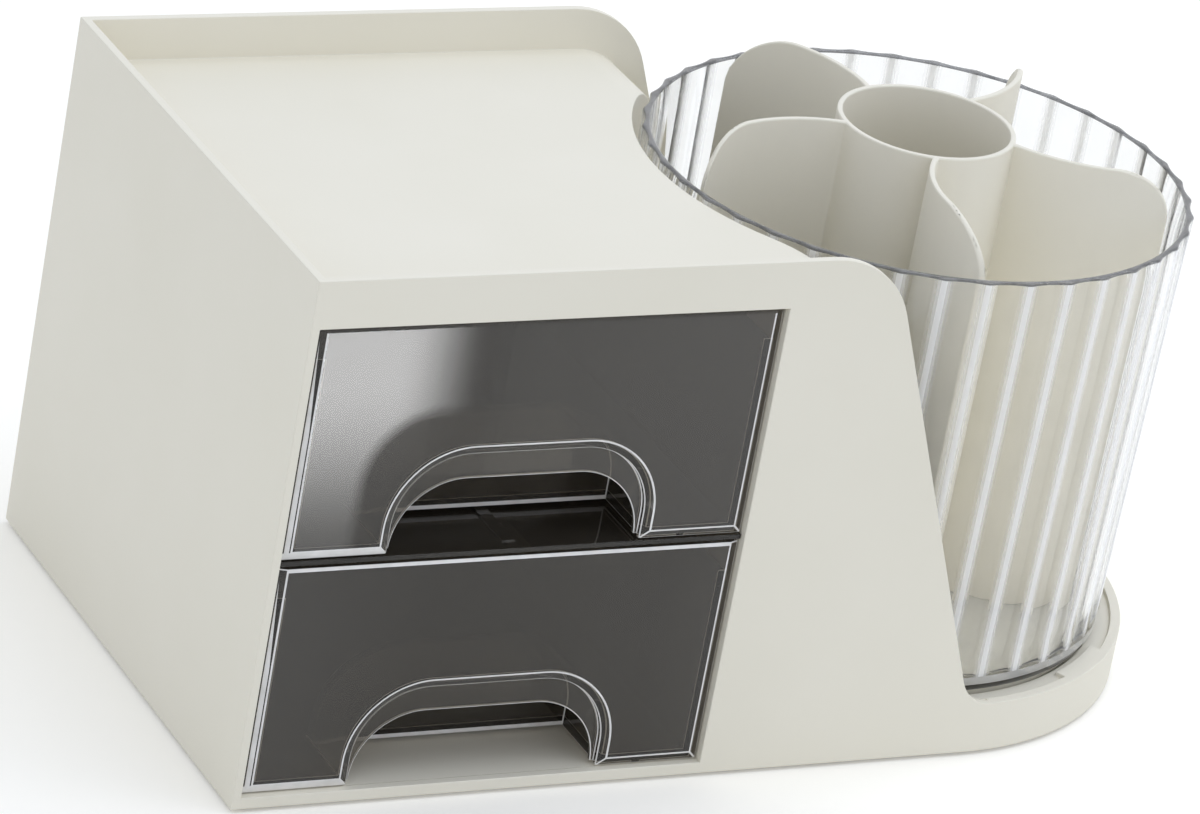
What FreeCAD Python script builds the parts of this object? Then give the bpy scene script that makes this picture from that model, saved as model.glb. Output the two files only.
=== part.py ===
"""Rotating makeup organizer: a cream housing with two smoky drawers under a shallow top tray,
and a clear fluted cup on a ball-bearing turntable, with a five-petal divider that lifts out.

Millimetres. The origin is on the floor at the middle of the footprint. X runs from the drawers
(left) to the cup (right), the drawer fronts face -Y, and Z is up.
"""

import FreeCAD, Part
import Sketcher
import math
import os
from types import SimpleNamespace

from FreeCAD import Placement, Rotation, Vector

doc = FreeCAD.newDocument("rotating_makeup_organizer")


# The driving sizes: name, millimetres (degrees for angles, a number for counts), what it is.
SIZES = (
    ("housing_height", 139.5, "lower edge of the housing to its top edges"),
    ("foot_gap", 1.0, "floor to the lower edge of the housing"),
    ("side_wall", 2.3, "left wall"),
    ("panel", 2.2, "front and back panels"),
    ("web", 1.4, "flat wall on the right of the drawer bay"),
    ("bay_width", 123.2, "clear width of the drawer bay and of its opening"),
    ("bay_sill", 3.0, "front strip under the drawer opening"),
    ("tray_depth", 11.3, "top edges down to the deck"),
    ("deck", 1.2, "deck thickness"),
    ("shoulder_reach", 26.9, "drawer bay to the corner where the top edge meets the sloping edge"),
    ("heel_back", 0.8, "cup axis back to the corner where the sloping edge meets the round base"),
    ("shoulder_radius", 24.0, "rounding between the top edge and the sloping edge"),
    ("heel_radius", 10.0, "hollow rounding at the foot of the sloping edge"),
    ("roof_inset", 7.0, "roof behind the sloping edge, measured along X"),
    ("roof", 1.4, "roof thickness on the slope, measured along X"),
    ("roof_radius", 16.5, "rounding of the roof at the shoulder"),
    ("rim_height", 13.5, "lower edge of the housing to the top of the base rim"),
    ("skirt", 2.4, "wall round the base"),
    ("ledge_drop", 1.2, "base rim down to the ledge inside it"),
    ("ledge_plate", 2.0, "ledge thickness"),
    ("ledge_rim", 2.7, "width of the base rim at its top"),
    ("lug_reach", 2.8, "inward reach of the guide lugs on the ledge"),
    ("lug_angle", 17.0, "width of a guide lug"),
    ("lug_start", -62.5, "first edge of the first guide lug, from +X"),
    ("lug_count", 5, "guide lugs"),
    ("well_gap", 1.2, "turntable edge to the wall of its well"),
    ("well_wall", 1.5, "wall round the well"),
    ("well_floor", 2.0, "floor of the well"),
    ("cup_clearance", 2.4, "cup rim to the curved wall"),
    ("curved_wall", 1.5, "curved wall behind the cup"),
    ("round_margin", 2.0, "inside of the curved wall to the front and back faces"),
    ("cover", 1.8, "base cover thickness"),
    ("cover_gap", 0.2, "base cover to the walls round it"),
    ("cover_tab", 1.2, "reach of the tabs that hook the cover into the left wall"),
    ("cover_tab_width", 12.0, "width of a tab"),
    ("shelf", 1.3, "shelf between the drawers"),
    ("shelf_gap", 0.2, "shelf to the side walls"),
    ("shelf_setback", 1.5, "front face to the front edge of the shelf"),
    ("shelf_rib", 3.6, "width of the stiffening rib along the shelf"),
    ("shelf_rib_height", 0.5, "height of that rib"),
    ("cleat", 0.8, "reach of the cleats that carry the shelf"),
    ("cleat_height", 1.2, "height of the cleats"),
    ("cleat_start", 5.2, "front panel to the front end of the cleats"),
    ("drawer_setback", 1.2, "front face to the drawer fronts"),
    ("drawer_side_gap", 0.5, "drawer front to the sides of the opening"),
    ("drawer_lower_gap", 0.3, "drawer to what it slides on"),
    ("drawer_upper_gap", 0.6, "drawer front to what is above it"),
    ("front_plate", 2.2, "drawer front thickness"),
    ("front_bevel", 2.3, "width of the bevel round the drawer front"),
    ("front_bevel_depth", 0.9, "how far that bevel falls back"),
    ("drawer_inset", 1.6, "drawer side behind the edge of its front"),
    ("drawer_wall", 1.8, "drawer walls"),
    ("drawer_floor", 1.8, "drawer floor"),
    ("drawer_side_height", 52.0, "drawer sides above the lower edge of the front"),
    ("drawer_rear_gap", 0.9, "drawer to the back panel"),
    ("runner", 0.7, "height of the runners under a drawer"),
    ("runner_width", 2.0, "width of a runner"),
    ("runner_spread", 90.0, "distance between the two runners"),
    ("pull_width", 67.0, "finger pull, clear width"),
    ("pull_height", 25.5, "finger pull, clear height"),
    ("pull_radius", 18.7, "finger pull, upper corners"),
    ("pull_depth", 20.0, "finger pull, front face to its back wall"),
    ("pull_wall", 2.0, "walls of the finger pull"),
    ("lip_drop", 7.2, "how far the grip lip hangs below the top of the pull"),
    ("lip", 1.2, "grip lip thickness"),
    ("drawer_travel", 105.0, "how far a drawer slides out"),
    ("stop_overlap", 1.0, "how far the rear wall of a drawer reaches up behind its stop"),
    ("stop_drop", 3.0, "how far a stop hangs down"),
    ("stop_width", 24.0, "width of a stop"),
    ("stop_thickness", 2.0, "thickness of a stop"),
    ("stop_gap", 0.3, "rear wall to the stop when the drawer is fully out"),
    ("cup_rim_radius", 70.6, "cup at its rim"),
    ("cup_taper", 1.9, "how much smaller the radius is at the foot"),
    ("cup_height", 114.5, "foot to rim"),
    ("cup_wall", 2.2, "cup wall at the ridges"),
    ("cup_floor", 2.5, "cup floor"),
    ("cup_foot_chamfer", 0.8, "bevel round the cup foot"),
    ("cup_access", 9.0, "radius of the hole over the pivot bolt"),
    ("cup_lift", 1.5, "ledge up to the foot of the cup"),
    ("flute_count", 40, "flutes round the cup"),
    ("flute_span", 8.7, "width of a flute, seen from the cup axis"),
    ("flute_depth", 0.8, "depth of a flute"),
    ("flute_start", 10.0, "cup foot up to where a flute has its full width"),
    ("divider_rise", 11.3, "cup rim up to the top of the divider"),
    ("divider_rest", 0.1, "cup floor to the divider"),
    ("tube_radius", 22.8, "middle tube of the divider, outside"),
    ("tube_wall", 1.4, "wall of the middle tube"),
    ("petal_count", 5, "petals"),
    ("petal", 1.4, "petal thickness"),
    ("petal_gap", 2.5, "petals to the cup wall at its foot"),
    ("petal_curve", 38.6, "radius of a petal in plan"),
    ("petal_centre_out", 37.7, "centre of that curve, out from the cup axis"),
    ("petal_centre_side", 33.9, "centre of that curve, to the side"),
    ("petal_corner", 15.0, "rounding of the upper outer corner of a petal"),
    ("petal_angle", 36.0, "direction of the first petal, from +X"),
    ("turntable", 2.6, "turntable thickness"),
    ("turntable_inset", 2.4, "cup foot out past the turntable edge"),
    ("race", 1.6, "bearing race thickness"),
    ("race_inner", 27.0, "bearing race, inner radius"),
    ("race_outer", 43.0, "bearing race, outer radius"),
    ("race_gap", 2.1, "lower race to upper race"),
    ("ball_circle", 36.0, "radius of the circle of balls"),
    ("ball", 2.0, "ball radius"),
    ("ball_count", 12, "balls"),
    ("ball_clearance", 0.05, "ball to its track and to its cage"),
    ("cage", 1.2, "ball cage thickness"),
    ("cage_width", 7.0, "ball cage, inner to outer edge"),
    ("bolt", 2.0, "pivot bolt radius"),
    ("bolt_head", 3.8, "pivot bolt head radius"),
    ("bolt_head_height", 1.75, "pivot bolt head height"),
    ("bolt_fit", 0.05, "pivot bolt to its bores"),
    ("hex_key", 1.25, "socket in the bolt head, circumradius"),
    ("hex_key_depth", 1.0, "depth of that socket"),
    ("bushing_wall", 1.55, "pivot bushing wall"),
    ("bushing_fit", 0.05, "turntable bore to the bushing"),
    ("washer_radius", 6.0, "pivot washer radius"),
    ("washer", 0.6, "pivot washer thickness"),
    ("end_play", 0.05, "turntable to the washer"),
    ("boss", 6.0, "pivot boss radius"),
    ("boss_gap", 0.3, "pivot boss to the turntable"),
    ("nut", 4.0, "lock nut circumradius"),
    ("nut_height", 2.2, "lock nut height"),
    ("nut_fit", 0.1, "nut to its pocket"),
    ("small_screw", 1.25, "bearing screw radius"),
    ("small_head", 2.3, "bearing screw head radius"),
    ("recess_reach", 0.6, "half the length of a screw's cross recess, as a share of its head radius"),
    ("recess_width", 0.14, "half the width of the recess, as the same share"),
    ("small_head_height", 1.05, "bearing screw head height"),
    ("lower_screw_length", 4.2, "screws through the lower race"),
    ("upper_screw_length", 4.0, "screws through the turntable into the upper race"),
    ("cup_screw_length", 4.5, "screws through the turntable into the cup"),
    ("race_screw_count", 3, "screws in each race"),
    ("race_screw_circle", 30.5, "radius of the circle of race screws"),
    ("race_screw_start", 30.0, "direction of the first race screw, from +X"),
    ("cup_screw_count", 4, "screws in the cup"),
    ("cup_screw_start", 45.0, "direction of the first cup screw, from +X"),
    ("outer_screw_inset", 12.3, "turntable edge to the circles of cup screws and cover screws"),
    ("cover_screw", 1.5, "cover screw radius"),
    ("cover_head", 2.8, "cover screw head radius"),
    ("cover_head_height", 1.3, "cover screw head height"),
    ("cover_screw_length", 8.0, "cover screw length"),
    ("cover_screw_count", 3, "cover screws on the circle under the cup"),
    ("cover_screw_start", 60.0, "direction of the first of them, from +X"),
    ("corner_screw_inset", 10.8, "front and back panels to the corner cover screws"),
    ("screw_boss", 4.0, "radius of the bosses for the cover screws"),
    ("screw_boss_height", 14.0, "corner bosses above the cover"),
    ("foot", 7.0, "rubber foot radius"),
    ("foot_inset", 17.0, "rubber foot from the outer edges"),
    ("foot_round", 0.8, "rounding of a rubber foot"),
    ("overshoot", 1.0, "how far a cutting shape passes the surface that it cuts"),
)


class Size:
    """A size that knows its number and the formula on the sheet that gives it."""

    def __init__(self, value, formula):
        self.value = value
        self.formula = formula

    @staticmethod
    def of(thing):
        return thing if isinstance(thing, Size) else Size(float(thing), f"{float(thing):g}")

    def __add__(self, other):
        other = Size.of(other)
        return Size(self.value + other.value, f"({self.formula} + {other.formula})")

    def __sub__(self, other):
        other = Size.of(other)
        return Size(self.value - other.value, f"({self.formula} - {other.formula})")

    def __mul__(self, other):
        other = Size.of(other)
        return Size(self.value * other.value, f"({self.formula} * {other.formula})")

    def __truediv__(self, other):
        other = Size.of(other)
        return Size(self.value / other.value, f"({self.formula} / {other.formula})")

    def __neg__(self):
        return Size(-self.value, f"(0 - {self.formula})")


ZERO = Size.of(0)


def cosine(angle):
    return Size(math.cos(math.radians(angle.value)), f"cos({angle.formula})")


def sine(angle):
    return Size(math.sin(math.radians(angle.value)), f"sin({angle.formula})")


def write_sheet(rows):
    """Puts the sizes on the sheet and returns them by name."""
    sheet = doc.addObject("Spreadsheet::Sheet", "sizes")
    named = SimpleNamespace()
    for row, (name, value, meaning) in enumerate(rows, start=1):
        sheet.set(f"A{row}", meaning)
        sheet.set(f"B{row}", str(value))
        sheet.setAlias(f"B{row}", name)
        setattr(named, name, Size(float(value), f"sizes.{name}"))
    doc.recompute()
    return named


d = write_sheet(SIZES)


# Places that follow from the sizes
cup_foot_radius = d.cup_rim_radius - d.cup_taper
curved_inner = d.cup_rim_radius + d.cup_clearance
curved_outer = curved_inner + d.curved_wall
half_depth = curved_inner + d.round_margin
length = d.side_wall + d.bay_width + curved_outer + half_depth
left = -(length / 2)
bay_left = left + d.side_wall
bay_right = bay_left + d.bay_width
bay_middle = bay_left + d.bay_width / 2
axis_x = bay_right + curved_outer
round_end = axis_x + half_depth
inner_half = half_depth - d.panel

base_z = d.foot_gap
top_z = base_z + d.housing_height
deck_z = top_z - d.tray_depth
deck_under = deck_z - d.deck
rim_z = base_z + d.rim_height
ledge_z = rim_z - d.ledge_drop
ledge_under = ledge_z - d.ledge_plate
ledge_radius = half_depth - d.ledge_rim
skirt_inner = half_depth - d.skirt
cover_top = base_z + d.bay_sill
cover_under = cover_top - d.cover

turntable_top = ledge_z + d.cup_lift
turntable_under = turntable_top - d.turntable
turntable_radius = cup_foot_radius - d.turntable_inset
outer_screw_circle = turntable_radius - d.outer_screw_inset
well_radius = turntable_radius + d.well_gap
upper_race_z = turntable_under - d.race
lower_race_z = upper_race_z - d.race_gap - d.race
ball_z = upper_race_z - d.race_gap / 2
well_z = lower_race_z
well_under = well_z - d.well_floor
boss_top = turntable_under - d.boss_gap
washer_z = turntable_top + d.end_play
head_z = washer_z + d.washer

widening = d.cup_taper / d.cup_height
fluted_radius = cup_foot_radius + widening * d.flute_start
flute_dip = d.flute_depth - fluted_radius * (Size.of(1) - cosine(d.flute_span / 2))
flute_edge = fluted_radius * sine(d.flute_span / 2)
flute_radius = (flute_dip * flute_dip + flute_edge * flute_edge) / (flute_dip * 2)

cup_floor_z = turntable_top + d.cup_floor
cup_rim_z = turntable_top + d.cup_height
divider_z = cup_floor_z + d.divider_rest
divider_top = cup_rim_z + d.divider_rise
petal_reach = cup_foot_radius - d.cup_wall - d.petal_gap

storey = (deck_under - cover_top - d.shelf) / 2
shelf_under = cover_top + storey
shelf_top = shelf_under + d.shelf
drawer_height = storey - d.drawer_lower_gap - d.drawer_upper_gap
front_y = -half_depth + d.drawer_setback


def along_slope(z, corner_x, heel_x):
    """X at height z on the line from (corner_x, top_z) to (heel_x, rim_z)."""
    return corner_x + (heel_x - corner_x) * (top_z - z) / (top_z - rim_z)


slope_top = bay_right + d.shoulder_reach
slope_foot = axis_x - d.heel_back
roof_top = slope_top - d.roof_inset
roof_foot = slope_foot - d.roof_inset


# Helpers that bind an object to the sheet
def bind(thing, **sizes):
    """Ties each property to its formula; a double underscore in a name stands for a dot."""
    for path, size in sizes.items():
        thing.setExpression(path.replace("__", "."), Size.of(size).formula)
    return thing


def place(thing, x=ZERO, y=ZERO, z=ZERO, turn=None):
    """Puts a thing at a point, turned about Z by an angle."""
    angle = Size.of(turn).value if turn is not None else 0.0
    thing.Placement = Placement(
        Vector(Size.of(x).value, Size.of(y).value, Size.of(z).value),
        Rotation(Vector(0, 0, 1), angle),
    )
    bind(thing, Placement__Base__x=x, Placement__Base__y=y, Placement__Base__z=z)
    if turn is not None:
        bind(thing, Placement__Rotation__Angle=turn)
    return thing


def add(kind, name, **sizes):
    return bind(doc.addObject(kind, name), **sizes)


def box(name, x, y, z):
    """A box from the first to the second value along each axis."""
    block = add(
        "Part::Box",
        name,
        Length=Size.of(x[1]) - x[0],
        Width=Size.of(y[1]) - y[0],
        Height=Size.of(z[1]) - z[0],
    )
    return place(block, x[0], y[0], z[0])


def rod(name, x, y, radius, bottom, top, sector=None, start=None):
    """An upright cylinder, or a sector of one."""
    solid = add("Part::Cylinder", name, Radius=radius, Height=Size.of(top) - bottom)
    if sector is not None:
        bind(solid, Angle=sector)
    return place(solid, x, y, bottom, start)


def cone(name, x, y, lower_radius, upper_radius, bottom, top):
    solid = add(
        "Part::Cone",
        name,
        Radius1=lower_radius,
        Radius2=upper_radius,
        Height=Size.of(top) - bottom,
    )
    return place(solid, x, y, bottom)


def fuse(name, *shapes):
    joined = doc.addObject("Part::MultiFuse", name)
    joined.Shapes = list(shapes)
    joined.Refine = True
    return joined


def common(name, *shapes):
    shared = doc.addObject("Part::MultiCommon", name)
    shared.Shapes = list(shapes)
    return shared


def cut(name, base, *tools):
    """The base less the tools."""
    result = doc.addObject("Part::Cut", name)
    result.Base = base
    result.Tool = tools[0] if len(tools) == 1 else fuse(f"{name}_tools", *tools)
    result.Refine = True
    return result


def group(name, solids):
    """Equal pieces that stay separate solids."""
    several = doc.addObject("Part::Compound", name)
    several.Links = list(solids)
    return several


# Helpers for bodies with sketches
def new_body(name):
    return doc.addObject("PartDesign::Body", name)


def new_sketch(body, plane, offset=ZERO):
    """A sketch on one of the body's planes. The normals are +Z (XY), -Y (XZ) and +X (YZ)."""
    sketch = body.newObject("Sketcher::SketchObject", f"{body.Name}_sketch")
    origin_plane = next(f for f in body.Origin.OriginFeatures if f.Role == f"{plane}_Plane")
    sketch.AttachmentSupport = [(origin_plane, "")]
    sketch.MapMode = "FlatFace"
    return bind(sketch, AttachmentOffset__Base__z=offset)


def dimension(sketch, kind, *where, size):
    """A named dimension tied to the sheet."""
    index = sketch.addConstraint(Sketcher.Constraint(kind, *where, Size.of(size).value))
    name = f"d{index}"
    sketch.renameConstraint(index, name)
    sketch.setExpression(f"Constraints.{name}", Size.of(size).formula)


def pin(sketch, geometry, point, x, y):
    """Fixes a point of the geometry from the sketch's origin."""
    dimension(sketch, "DistanceX", -1, 1, geometry, point, size=x)
    dimension(sketch, "DistanceY", -1, 1, geometry, point, size=y)


def polygon(sketch, *corners):
    """A closed outline through the corners."""
    corners = [(Size.of(x), Size.of(y)) for x, y in corners]
    ends = [Vector(x.value, y.value, 0) for x, y in corners]
    lines = [
        sketch.addGeometry(Part.LineSegment(start, end), False)
        for start, end in zip(ends, ends[1:] + ends[:1])
    ]
    for line, following in zip(lines, lines[1:] + lines[:1]):
        sketch.addConstraint(Sketcher.Constraint("Coincident", line, 2, following, 1))
    for line, (x, y) in zip(lines, corners):
        pin(sketch, line, 1, x, y)
    return sketch


def rectangle(sketch, x, y):
    return polygon(sketch, (x[0], y[0]), (x[1], y[0]), (x[1], y[1]), (x[0], y[1]))


def circle(sketch, x, y, radius):
    centre = Vector(Size.of(x).value, Size.of(y).value, 0)
    index = sketch.addGeometry(
        Part.Circle(centre, Vector(0, 0, 1), Size.of(radius).value), False
    )
    pin(sketch, index, 3, x, y)
    dimension(sketch, "Radius", index, size=radius)
    return sketch


def feature(body, kind, sketch, **sizes):
    made = body.newObject(f"PartDesign::{kind}", f"{body.Name}_{kind}")
    made.Profile = sketch
    return bind(made, **sizes)


def pad(body, sketch, thickness, midplane=False, backwards=False):
    made = feature(body, "Pad", sketch, Length=thickness)
    made.Midplane = midplane
    made.Reversed = backwards
    return made


def pocket(body, sketch, depth, midplane=False, backwards=False):
    """Cuts into the body; it stops if nothing is cut."""
    doc.recompute()
    before = body.Shape.Volume
    made = feature(body, "Pocket", sketch, Length=depth)
    made.Midplane = midplane
    made.Reversed = backwards
    doc.recompute()
    if not body.Shape.Volume < before:
        raise ValueError(f"{made.Name} cuts nothing")
    return made


def turned(body, sketch, kind="Revolution"):
    """A solid or a cut turned about the body's Z axis."""
    made = feature(body, kind, sketch)
    z_axis = next(f for f in body.Origin.OriginFeatures if f.Role == "Z_Axis")
    made.ReferenceAxis = (z_axis, [""])
    made.Angle = 360
    return made


def cutting_primitive(body, kind, x, z, **sizes):
    """A primitive solid that is cut from the body, with its own origin at (x, z)."""
    made = body.newObject(f"PartDesign::Subtractive{kind}", f"{body.Name}_{kind}")
    made.AttachmentSupport = [
        (next(f for f in body.Origin.OriginFeatures if f.Role == "XY_Plane"), "")
    ]
    made.MapMode = "FlatFace"
    made.AttachmentOffset = Placement(Vector(x.value, 0, z.value), Rotation())
    bind(made, AttachmentOffset__Base__x=x, AttachmentOffset__Base__z=z)
    return bind(made, **sizes)


def round_about(body, features, count):
    """Repeats features round the body's Z axis."""
    pattern = body.newObject("PartDesign::PolarPattern", f"{body.Name}_pattern")
    pattern.Originals = list(features)
    z_axis = next(f for f in body.Origin.OriginFeatures if f.Role == "Z_Axis")
    pattern.Axis = (z_axis, [""])
    pattern.Angle = 360
    bind(pattern, Occurrences=count)
    body.Tip = pattern
    return pattern


def edges_where(shape, test):
    """Names of the edges whose middle point passes the test."""
    return [
        f"Edge{number}"
        for number, edge in enumerate(shape.Edges, start=1)
        if test(edge, edge.valueAt((edge.FirstParameter + edge.LastParameter) / 2))
    ]


def near(a, b, tolerance=0.01):
    return abs(a - Size.of(b).value) < tolerance


def along(edge, direction):
    """Whether a straight edge runs along the direction."""
    if edge.Curve.TypeId != "Part::GeomLine":
        return False
    return edge.Curve.Direction.cross(direction).Length < 1e-6


def dress(body, kind, test, **sizes):
    """A fillet or chamfer on the edges of the body that pass the test."""
    doc.recompute()
    tip = body.Tip
    names = edges_where(tip.Shape, test)
    if not names:
        raise ValueError(f"{body.Name}: no edge for {kind}")
    made = body.newObject(f"PartDesign::{kind}", f"{body.Name}_{kind}")
    made.Base = (tip, names)
    return bind(made, **sizes)


def on_circle(count, radius, start=0.0):
    """Points spread evenly on a circle round the cup axis."""
    points = []
    for number in range(int(count.value)):
        angle = Size.of(start) + Size.of(360.0) / count * number
        points.append((axis_x + cosine(angle) * radius, sine(angle) * radius))
    return points


Y = Vector(0, 1, 0)


# The housing: one moulding with the drawer bay, the top tray, the curved wall and the round base
def profile_block(name, corners, thickness):
    """A block with this side view, centred on the middle plane."""
    body = new_body(name)
    pad(body, polygon(new_sketch(body, "XZ"), *corners), thickness, midplane=True)
    return body


def corner_at(x, z):
    """Test for the edge along Y at this corner of a side view."""
    return lambda edge, middle: along(edge, Y) and near(middle.x, x) and near(middle.z, z)


def housing_blank():
    outline = profile_block(
        "outline",
        (
            (left, base_z),
            (left, top_z),
            (slope_top, top_z),
            (slope_foot, rim_z),
            (round_end + d.overshoot, rim_z),
            (round_end + d.overshoot, base_z),
        ),
        half_depth * 2,
    )
    dress(outline, "Fillet", corner_at(slope_top, top_z), Radius=d.shoulder_radius)
    dress(outline, "Fillet", corner_at(slope_foot, rim_z), Radius=d.heel_radius)
    footprint = fuse(
        "footprint",
        box("straight_part", (left, axis_x), (-half_depth, half_depth), (base_z, top_z)),
        rod("round_part", axis_x, ZERO, half_depth, base_z, top_z),
    )
    return common("housing_blank", outline, footprint)


def tray_space():
    """What is cut away above the deck and the sloping roof, between the two panels."""
    space = profile_block(
        "tray_space",
        (
            (bay_left, deck_z),
            (along_slope(deck_z, roof_top, roof_foot), deck_z),
            (roof_foot, rim_z),
            (round_end + d.overshoot, rim_z),
            (round_end + d.overshoot, top_z + d.overshoot),
            (bay_left, top_z + d.overshoot),
        ),
        inner_half * 2,
    )
    corner = corner_at(along_slope(deck_z, roof_top, roof_foot), deck_z)
    dress(space, "Fillet", corner, Radius=d.roof_radius)
    return space


def corner_hollows():
    """The two hollow corners between the drawer bay, the curved wall and the panels."""
    corner_x = along_slope(deck_under, roof_top, roof_foot) - d.roof
    hollow = profile_block(
        "hollow",
        (
            (bay_right + d.web, base_z - d.overshoot),
            (bay_right + d.web, deck_under),
            (corner_x, deck_under),
            (roof_foot - d.roof, rim_z),
            (roof_foot - d.roof, base_z - d.overshoot),
        ),
        inner_half * 2,
    )
    dress(hollow, "Fillet", corner_at(corner_x, deck_under), Radius=d.roof_radius - d.deck)
    inside = rod(
        "inside_curve", axis_x, ZERO, curved_outer, base_z - d.overshoot * 2, top_z
    )
    return cut("corner_hollows", hollow, inside)


def ledge_space():
    """The shallow recess inside the base rim, less its guide lugs."""
    recess = rod("recess", axis_x, ZERO, ledge_radius, ledge_z, rim_z + d.overshoot)
    sectors = [
        rod(
            f"lug_{number}",
            axis_x,
            ZERO,
            ledge_radius + d.overshoot,
            ledge_z - d.overshoot,
            rim_z,
            sector=d.lug_angle,
            start=d.lug_start + Size.of(360.0) / d.lug_count * number,
        )
        for number in range(int(d.lug_count.value))
    ]
    inner = rod(
        "lug_inner",
        axis_x,
        ZERO,
        ledge_radius - d.lug_reach,
        ledge_z - d.overshoot * 2,
        rim_z + d.overshoot,
    )
    return cut("ledge_space", recess, cut("lugs", fuse("lug_sectors", *sectors), inner))


def base_hollow():
    """The underside of the base, open below, round the body of the well."""
    hollow = rod("base_inside", axis_x, ZERO, skirt_inner, base_z - d.overshoot, ledge_under)
    well_body = rod(
        "well_body", axis_x, ZERO, well_radius + d.well_wall, well_under, ledge_z
    )
    return cut("base_hollow", hollow, well_body)


def cover_space(name, gap, bottom, top):
    """The outline that the base cover fills, inside the walls by a gap."""
    return fuse(
        name,
        box(
            f"{name}_straight",
            (bay_left + gap, axis_x),
            (-inner_half + gap, inner_half - gap),
            (bottom, top),
        ),
        rod(f"{name}_round", axis_x, ZERO, skirt_inner - gap, bottom, top),
    )


def cover_tabs(name, gap):
    """The three tabs on the left edge of the cover, or with a gap the slots for them."""
    tabs = []
    for number, middle in enumerate((-(half_depth / 2), ZERO, half_depth / 2)):
        half = d.cover_tab_width / 2 + gap
        tabs.append(
            box(
                f"{name}_{number}",
                (bay_left - d.cover_tab - gap, bay_left + d.overshoot * 2),
                (middle - half, middle + half),
                (cover_under - gap, cover_top + gap),
            )
        )
    return tabs


def drawer_stops(name, z):
    """The stop that hangs from a ceiling at height z and catches the rear wall of a drawer."""
    rear_wall = inner_half - d.drawer_rear_gap - d.drawer_wall
    stop_back = rear_wall - d.drawer_travel - d.stop_gap
    return box(
        name,
        (bay_middle - d.stop_width / 2, bay_middle + d.stop_width / 2),
        (stop_back - d.stop_thickness, stop_back),
        (z - d.stop_drop, z + d.deck / 2),
    )


def cover_screw_places():
    corner_x = bay_right + d.web / 2 + d.screw_boss
    corner_y = inner_half - d.corner_screw_inset
    corners = [(corner_x, -corner_y), (corner_x, corner_y)]
    return corners + on_circle(d.cover_screw_count, outer_screw_circle, d.cover_screw_start)


def race_screw_places():
    return on_circle(d.race_screw_count, d.race_screw_circle, d.race_screw_start)


def cup_screw_places():
    return on_circle(d.cup_screw_count, outer_screw_circle, d.cup_screw_start)


def housing():
    bottom = base_z - d.overshoot
    inside_y = (-inner_half, inner_half)
    opening_y = (-half_depth - d.overshoot, -inner_half + d.overshoot)
    body = cut(
        "housing_walls",
        housing_blank(),
        tray_space(),
        corner_hollows(),
        ledge_space(),
        base_hollow(),
        rod("cup_space", axis_x, ZERO, curved_inner, rim_z, top_z + d.overshoot),
        rod("well", axis_x, ZERO, well_radius, well_z, rim_z),
        box("bay", (bay_left, bay_right), inside_y, (bottom, deck_under)),
        box("opening", (bay_left, bay_right), opening_y, (cover_top, deck_under)),
        cover_space("cover_seat", ZERO, bottom, cover_top),
        *cover_tabs("tab_slot", d.cover_gap / 2),
    )
    cleat_y = (-inner_half + d.cleat_start, inner_half)
    cleat_z = (shelf_under - d.cleat_height, shelf_under)
    inward = d.cleat
    root = d.web / 2
    extras = [
        box("left_cleat", (bay_left - root, bay_left + inward), cleat_y, cleat_z),
        box("right_cleat", (bay_right - inward, bay_right + root), cleat_y, cleat_z),
        drawer_stops("deck_stop", deck_under),
        rod("pivot_boss", axis_x, ZERO, d.boss, well_under, boss_top),
    ]
    for number, (x, y) in enumerate(cover_screw_places()[:2]):
        boss_end = cover_top + d.screw_boss_height
        extras.append(rod(f"corner_boss_{number}", x, y, d.screw_boss, cover_top, boss_end))
    for number, (x, y) in enumerate(cover_screw_places()[2:]):
        boss_end = turntable_under - d.boss_gap * 2
        extras.append(rod(f"well_boss_{number}", x, y, d.screw_boss, cover_top, boss_end))
    for number, (x, y) in enumerate(race_screw_places()):
        extras.append(rod(f"race_boss_{number}", x, y, d.small_head, cover_top, well_z))
    holes = [
        rod("bolt_bore", axis_x, ZERO, d.bolt + d.bolt_fit, bottom, top_z),
        hexagon(
            "nut_pocket", axis_x, ZERO, d.nut + d.nut_fit, bottom, well_under + d.nut_height
        ),
    ]
    for number, (x, y) in enumerate(cover_screw_places()):
        tip = cover_under + d.cover_screw_length
        holes.append(rod(f"cover_pilot_{number}", x, y, d.cover_screw, bottom, tip))
    for number, (x, y) in enumerate(race_screw_places()):
        tip = lower_race_z + d.race - d.lower_screw_length
        holes.append(rod(f"race_pilot_{number}", x, y, d.small_screw, tip, rim_z))
    return cut("housing_shell", fuse("housing_solid", body, *extras), *holes)


def hexagon(name, x, y, circumradius, bottom, top):
    prism = add("Part::Prism", name, Circumradius=circumradius, Height=Size.of(top) - bottom)
    prism.Polygon = 6
    return place(prism, x, y, bottom)


# Screws, all with flat countersunk heads
def screw(name, x, y, head_z, head_up, radius, head_radius, head_height, length):
    """A countersunk screw with a cross recess; its head is flush with head_z."""
    way = -1 if head_up else 1
    head_end = head_z + head_height * way
    tip = head_z + length * way
    if head_up:
        head = cone(f"{name}_head", x, y, radius, head_radius, head_end, head_z)
        shank = rod(f"{name}_shank", x, y, radius, tip, head_end)
        slot_z = (head_z - head_height / 2, head_z)
    else:
        head = cone(f"{name}_head", x, y, head_radius, radius, head_z, head_end)
        shank = rod(f"{name}_shank", x, y, radius, head_end, tip)
        slot_z = (head_z, head_z + head_height / 2)
    long = head_radius * d.recess_reach
    short = head_radius * d.recess_width
    across = box(f"{name}_across", (x - long, x + long), (y - short, y + short), slot_z)
    along_y = box(f"{name}_along", (x - short, x + short), (y - long, y + long), slot_z)
    return cut(name, fuse(f"{name}_solid", head, shank), across, along_y)


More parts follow.
